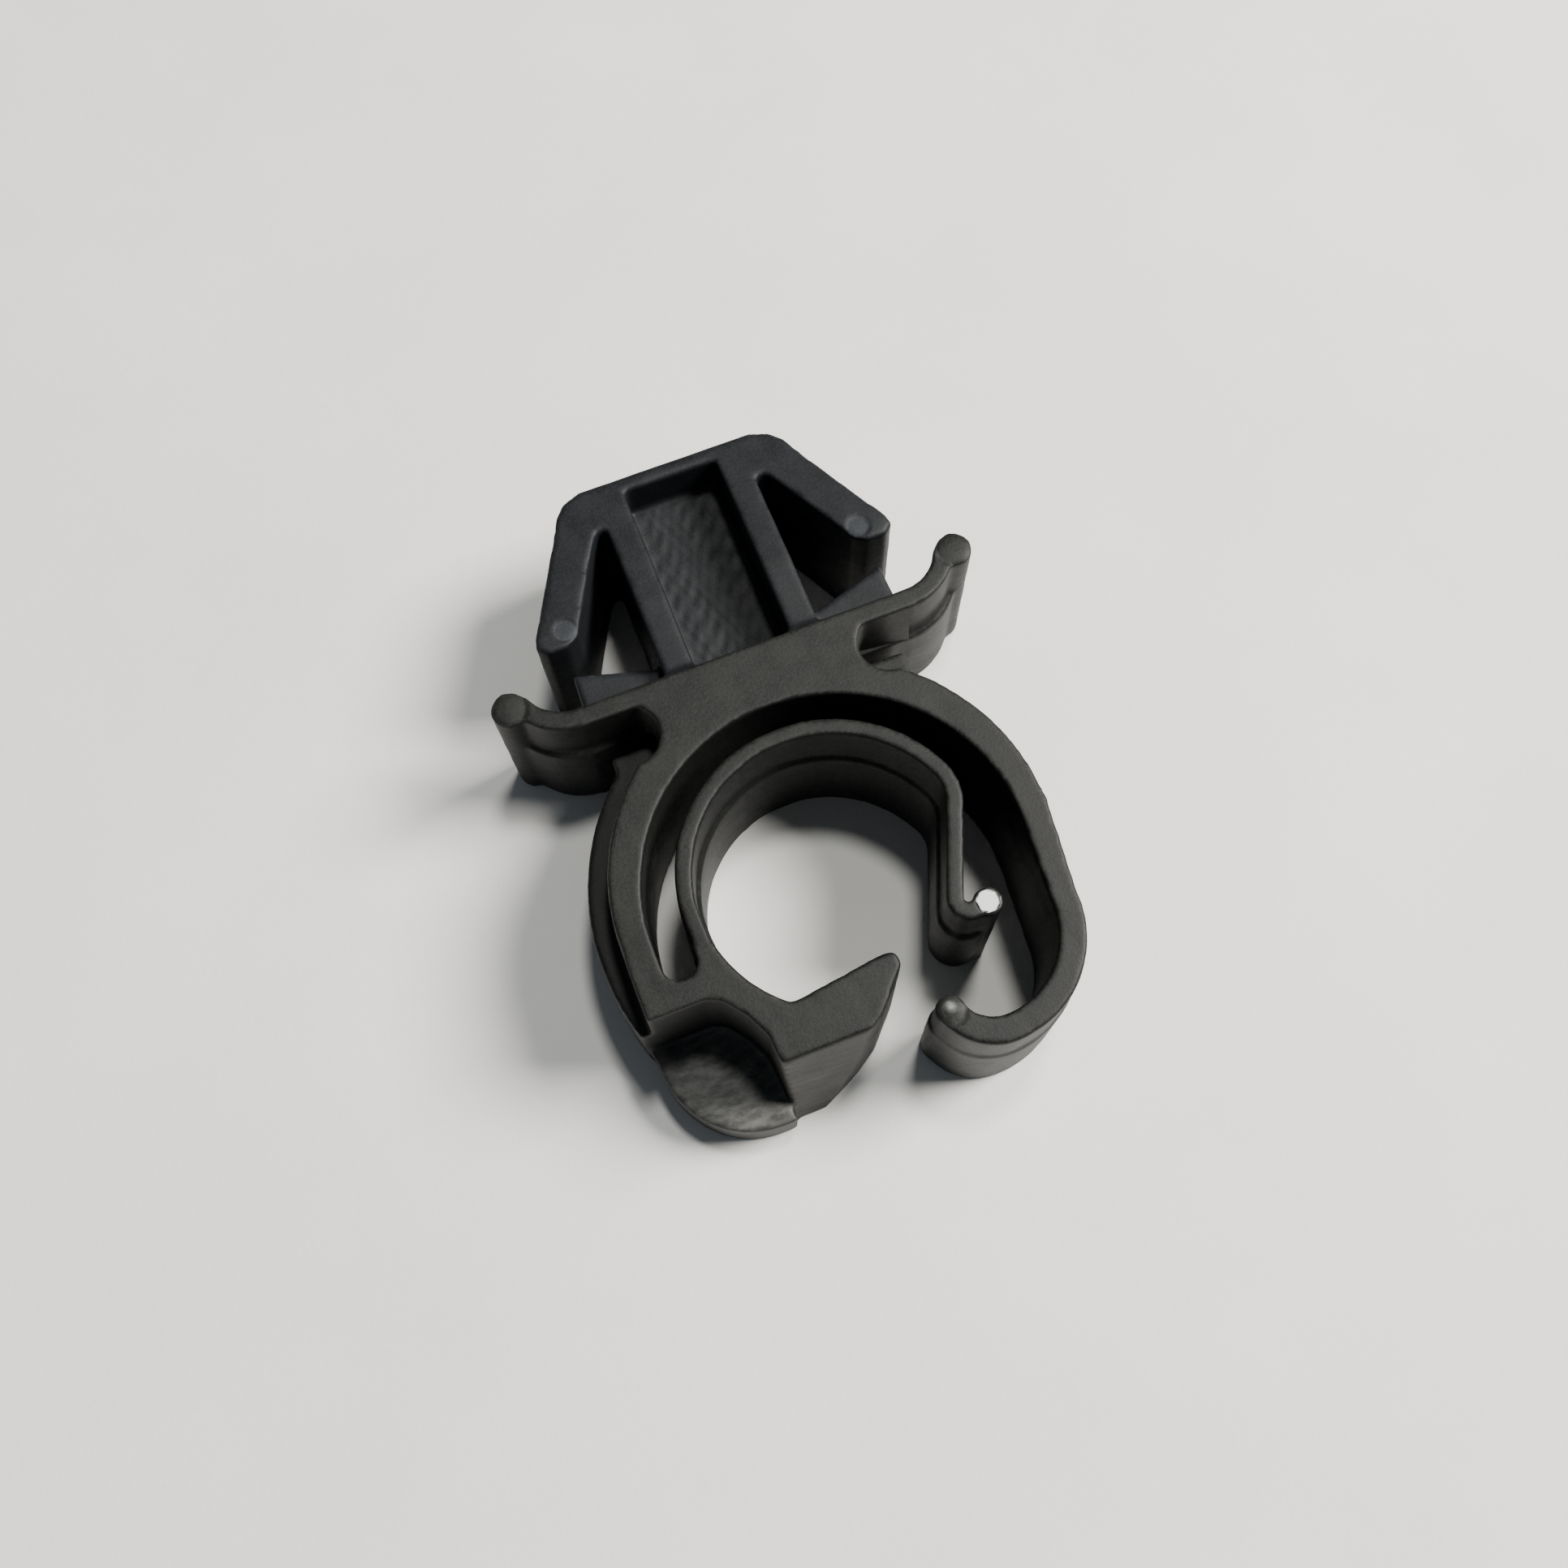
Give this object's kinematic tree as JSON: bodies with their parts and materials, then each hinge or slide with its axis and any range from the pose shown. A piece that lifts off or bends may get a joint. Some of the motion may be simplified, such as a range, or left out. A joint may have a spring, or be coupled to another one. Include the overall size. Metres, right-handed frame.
{
  "type": "push-in clip with spring finger",
  "caption": "Moulded push-in clip: arrow anchor with two barbs, crossbar with spring wings, and an open ring with a spring finger, guard arm and hooked jaw.",
  "frame": {"origin": "axis of the round seat, on the flat back face", "axes": "+Z out of the back face along the seat's axis, +Y from the seat towards the anchor's nose, +X towards the guard arm"},
  "size_m": [0.0208, 0.0282, 0.0076],
  "materials": {
    "clip_moulding": "fine moulded grain, softly rounded edges",
    "anchor_moulding": "slightly smoother and darker than the ring"
  },
  "bodies": {
    "frame": {"nose_bridge": "anchor_moulding", "rib_right": "anchor_moulding", "rib_left": "anchor_moulding", "floor_web": "anchor_moulding", "flange": "clip_moulding", "seat_pad_right": "clip_moulding", "seat_pad_left": "clip_moulding", "ring_wall": "clip_moulding", "ring_heel": "clip_moulding", "hook_jaw": "clip_moulding", "thumb_pad": "clip_moulding", "shoulder": "clip_moulding"},
    "finger_root": {"finger_root": "clip_moulding"},
    "finger_crown": {"finger_crown": "clip_moulding"},
    "finger_tip": {"finger_tip": "clip_moulding"},
    "guard_arm": {"guard_arm": "clip_moulding"},
    "wing_right": {"wing_right": "clip_moulding"},
    "wing_left": {"wing_left": "clip_moulding"},
    "barb_right": {"barb_right": "anchor_moulding"},
    "barb_left": {"barb_left": "anchor_moulding"}
  },
  "joints": [
    {"name": "finger_root_flex", "type": "hinge", "parent": "frame", "child": "finger_root", "pos_m": [-0.00582, -0.00061, 0], "axis": [0, 0, 1], "range_deg": [0, 3.5], "stiffness_Nm_per_rad": 0.375},
    {"name": "finger_crown_flex", "type": "hinge", "parent": "finger_root", "child": "finger_crown", "pos_m": [-0.00219, 0.00542, 0], "axis": [0, 0, 1], "range_deg": [0, 4.2]},
    {"name": "finger_tip_flex", "type": "hinge", "parent": "finger_crown", "child": "finger_tip", "pos_m": [0.00435, 0.00391, 0], "axis": [0, 0, 1], "range_deg": [0, 5.25]},
    {"name": "guard_flex", "type": "hinge", "parent": "frame", "child": "guard_arm", "pos_m": [0.0083, -0.0004, 0], "axis": [0, 0, 1], "range_deg": [0, 8], "stiffness_Nm_per_rad": 0.35},
    {"name": "wing_right_flex", "type": "hinge", "parent": "frame", "child": "wing_right", "pos_m": [0.0071, 0.00945, 0], "axis": [0, 0, -1], "range_deg": [0, 18], "stiffness_Nm_per_rad": 0.3},
    {"name": "wing_left_flex", "type": "hinge", "parent": "frame", "child": "wing_left", "pos_m": [-0.0071, 0.00945, 0], "axis": [0, 0, 1], "range_deg": [0, 18], "stiffness_Nm_per_rad": 0.3},
    {"name": "barb_right_flex", "type": "hinge", "parent": "frame", "child": "barb_right", "pos_m": [0.00475, 0.01737, 0], "axis": [0, 0, -1], "range_deg": [0, 18], "stiffness_Nm_per_rad": 0.8},
    {"name": "barb_left_flex", "type": "hinge", "parent": "frame", "child": "barb_left", "pos_m": [-0.00475, 0.01737, 0], "axis": [0, 0, 1], "range_deg": [0, 18], "stiffness_Nm_per_rad": 0.8}
  ],
  "couplings": [
    {"joint": "finger_crown_flex", "follows": "finger_root_flex", "ratio": 1.2},
    {"joint": "finger_tip_flex", "follows": "finger_root_flex", "ratio": 1.5}
  ]
}
